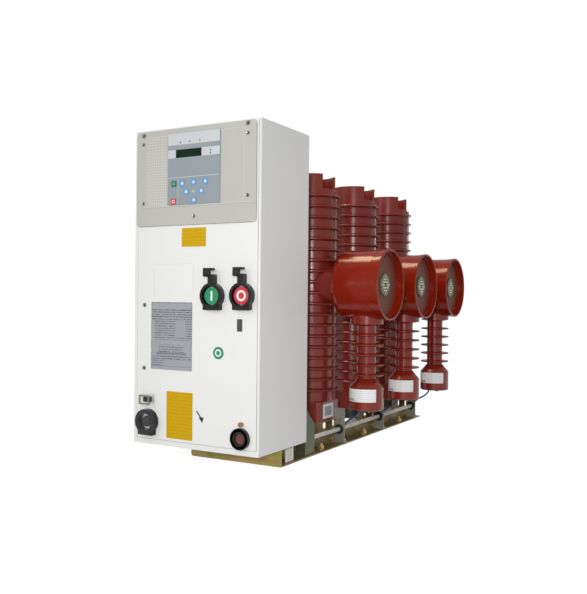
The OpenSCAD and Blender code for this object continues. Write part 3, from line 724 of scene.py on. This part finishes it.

# Painted shadow in the gaps round the cover, as pale grey bars, and a painted shade line down the fascia's right edge
# and along its bottom
gaps = bmesh.new()
borderFace = coverHigh.y
addBar(gaps, coverLow.x - 0.0009, coverLow.x, coverLow.z - 0.0009, fasciaLow.z, borderFace, 0.0012)
addBar(gaps, coverLow.x - 0.0009, coverHigh.x, coverLow.z - 0.0009, coverLow.z, borderFace, 0.0012)
addBar(gaps, coverHigh.x, coverHigh.x + 0.0006, coverLow.z, coverHigh.z, borderFace, 0.001)
placePiece("coverGaps", gaps, "seamShadow")
# Painted shade: dark grey bars along the fascia's right and bottom edges stand for the shade on those edges; the same
# grey is the print ink elsewhere
edges = bmesh.new()
addBar(edges, fasciaHigh.x - 0.0007, fasciaHigh.x - 0.0001, fasciaLow.z + 0.009, fasciaHigh.z - 0.009, fasciaFace, 0.0002)
addBar(edges, fasciaLow.x + 0.009, fasciaHigh.x - 0.009, fasciaLow.z + 0.0001, fasciaLow.z + 0.0008, fasciaFace, 0.0002)
placePiece("fasciaEdgeShade", edges, "inkAndShadeGrey")
print("stage: base details")


# Floor, light and camera

def makeBackdrop(name, colour, glow):
    material = bpy.data.materials.new(name)
    material.use_nodes = True
    tree = material.node_tree
    shader = tree.nodes["Principled BSDF"]
    shader.inputs["Base Color"].default_value = (*colour, 1)
    shader.inputs["Roughness"].default_value = 0.95
    rays = tree.nodes.new("ShaderNodeLightPath")
    seen = addMath(tree, "MAXIMUM", rays.outputs["Is Camera Ray"], rays.outputs["Is Glossy Ray"])
    tree.links.new(addMath(tree, "MULTIPLY", seen, glow), shader.inputs["Emission Strength"])
    shader.inputs["Emission Color"].default_value = (1, 1, 1, 1)
    return material


floorShape = bmesh.new()
bmesh.ops.create_grid(floorShape, x_segments=1, y_segments=1, size=30)
floorMesh = bpy.data.meshes.new("floor")
floorShape.to_mesh(floorMesh)
floorShape.free()
floorMesh.materials.append(makeBackdrop("paleFloor", (0.32, 0.32, 0.32), 0.88))
floor = bpy.data.objects.new("floor", floorMesh)
bpy.context.scene.collection.objects.link(floor)

world = bpy.data.worlds.new("studio")
bpy.context.scene.world = world
world.use_nodes = True
worldTree = world.node_tree
background = worldTree.nodes["Background"]
worldRays = worldTree.nodes.new("ShaderNodeLightPath")
worldSeen = addMath(worldTree, "MAXIMUM", worldRays.outputs["Is Camera Ray"], worldRays.outputs["Is Transmission Ray"])
worldTree.links.new(addMath(worldTree, "ADD", addMath(worldTree, "MULTIPLY", worldSeen, 0.46), 0.54),
                    background.inputs["Strength"])
background.inputs["Color"].default_value = (1, 1, 1, 1)

studioLamps = {
    "flash": {"place": (0.84, -1.86, 0.47), "aim": (0.05, -0.1, 0.33), "size": (0.14, 0.14), "power": 14.5,
              "colour": (1, 1, 1)},
    "frontSoft": {"place": (-0.7, -2.1, 1.1), "aim": (-0.05, -0.45, 0.35), "size": (1.4, 1.4), "power": 7.0,
                  "colour": (1, 1, 1)},
    "ceilingStrip": {"place": (-0.34, -0.08, 1.62), "aim": (0.17, 0.1, 0.42), "size": (0.5, 0.3), "power": 6.5,
                     "colour": (1, 0.8, 0.5)},
}
for lampName, lamp in studioLamps.items():
    data = bpy.data.lights.new(lampName, "AREA")
    data.shape = "RECTANGLE"
    data.size, data.size_y = lamp["size"]
    data.energy = lamp["power"]
    data.color = lamp["colour"]
    light = bpy.data.objects.new(lampName, data)
    light.location = lamp["place"]
    toward = Vector(lamp["aim"]) - Vector(lamp["place"])
    light.rotation_euler = toward.to_track_quat("-Z", "Y").to_euler()
    bpy.context.scene.collection.objects.link(light)

cameraView = {"place": (0.8896, -1.7269, 0.3400), "turn": 29.488, "pitch": -0.017, "roll": 0.549, "lens": 47.08}
cameraData = bpy.data.cameras.new("camera")
cameraData.lens = cameraView["lens"]
camera = bpy.data.objects.new("camera", cameraData)
camera.matrix_world = (Matrix.Translation(cameraView["place"])
                       @ Matrix.Rotation(math.radians(cameraView["turn"]), 4, "Z")
                       @ Matrix.Rotation(math.radians(90 + cameraView["pitch"]), 4, "X")
                       @ Matrix.Rotation(math.radians(cameraView["roll"]), 4, "Z"))
bpy.context.scene.collection.objects.link(camera)
bpy.context.scene.camera = camera
bpy.context.scene.view_settings.view_transform = "Standard"
print("stage: floor, lamps and camera")
